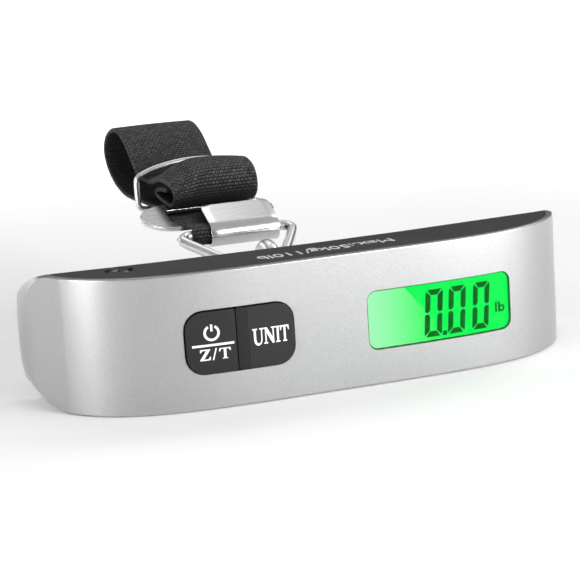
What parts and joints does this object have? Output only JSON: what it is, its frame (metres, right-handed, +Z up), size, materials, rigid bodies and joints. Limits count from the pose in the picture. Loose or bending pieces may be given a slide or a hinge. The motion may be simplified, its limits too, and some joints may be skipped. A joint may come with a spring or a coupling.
{
  "type": "digital luggage scale",
  "caption": "Hand-held digital luggage scale: a bowed grip body with a display and push buttons, a load hook, a triangular ring and a webbing strap.",
  "frame": {"origin": "on the flat face that the scale stands on, on the hook's centre plane, 21 mm behind the front of the bowed display side", "axes": "+Z up from the flat face, +Y out of the grip along the hook and the pull, +X to the right as the display is read"},
  "size_m": [0.1394, 0.1594, 0.0484],
  "materials": {
    "silver_paint": "satin silver paint with a fine sparkle over plastic",
    "black_plastic": "matte dark grey, finely textured",
    "button_plastic": "satin dark grey with white printed legends",
    "clear_lens": "clear gloss plastic window",
    "display_glass": "back-lit green display with dark digits",
    "diffuser": "milky light guide",
    "rubber": "striped connector rubber",
    "board_green": "green solder mask",
    "component_black": "matte black moulding",
    "polished_steel": "polished plated steel",
    "spring_steel": "plain bright steel",
    "gauge_film": "amber film with a metal grid",
    "webbing": "black ribbed nylon webbing",
    "cable_jacket": "red insulated lead"
  },
  "bodies": {
    "body": {"front_shell": "silver_paint", "rear_housing": "black_plastic", "hook_bushing": "black_plastic", "display_lens": "clear_lens", "lcd_panel": "display_glass", "lcd_backlight": "diffuser", "lcd_connector": "rubber", "circuit_board": "board_green", "control_chip": "component_black", "quartz_crystal": "spring_steel", "power_switch": "component_black", "unit_switch": "component_black", "battery_holder": "component_black", "battery_cell": "spring_steel", "battery_contact_negative": "spring_steel", "battery_contact_positive": "spring_steel", "load_cell_beam": "spring_steel", "strain_gauge_left": "gauge_film", "strain_gauge_right": "gauge_film", "sensor_cable": "cable_jacket", "cover_screw_top": "spring_steel", "cover_screw_left": "spring_steel", "cover_screw_right": "spring_steel", "board_screw_left": "spring_steel", "board_screw_right": "spring_steel", "load_cell_screw_left": "spring_steel", "load_cell_screw_right": "spring_steel"},
    "power_key": {"power_button": "button_plastic"},
    "unit_key": {"unit_button": "button_plastic"},
    "battery_door": {"battery_cap": "black_plastic"},
    "hook": {"load_hook": "polished_steel", "hook_nut": "spring_steel", "hook_washer": "spring_steel"},
    "ring": {"triangle_ring": "polished_steel"},
    "webbing": {"strap": "webbing", "strap_clamp": "polished_steel", "strap_slider": "polished_steel"},
    "keeper": {"strap_keeper": "polished_steel"}
  },
  "joints": [
    {"name": "power_press", "type": "slide", "parent": "body", "child": "power_key", "axis": [0, 1, 0], "range_m": [0, 0.0006], "stiffness_N_per_m": 1500},
    {"name": "unit_press", "type": "slide", "parent": "body", "child": "unit_key", "axis": [0, 1, 0], "range_m": [0, 0.0006], "stiffness_N_per_m": 1500},
    {"name": "battery_cap_turn", "type": "hinge", "parent": "body", "child": "battery_door", "pos_m": [-0.0125, -0.0068, 0], "axis": [0, 0, 1], "range_deg": [0, 45]},
    {"name": "hook_swivel", "type": "hinge", "parent": "body", "child": "hook", "pos_m": [0, 0.0155, 0.0185], "axis": [0, 1, 0], "range_deg": [-90, 90]},
    {"name": "ring_swing", "type": "hinge", "parent": "hook", "child": "ring", "pos_m": [0, 0.0319, 0.0187], "axis": [1, 0, 0], "range_deg": [-50, 50]},
    {"name": "strap_swing", "type": "hinge", "parent": "ring", "child": "webbing", "pos_m": [0, 0.06, 0.0255], "axis": [1, 0, 0], "range_deg": [-40, 40]},
    {"name": "keeper_slide", "type": "slide", "parent": "webbing", "child": "keeper", "axis": [0, 1, 0], "range_m": [-0.002, 0.002]}
  ]
}
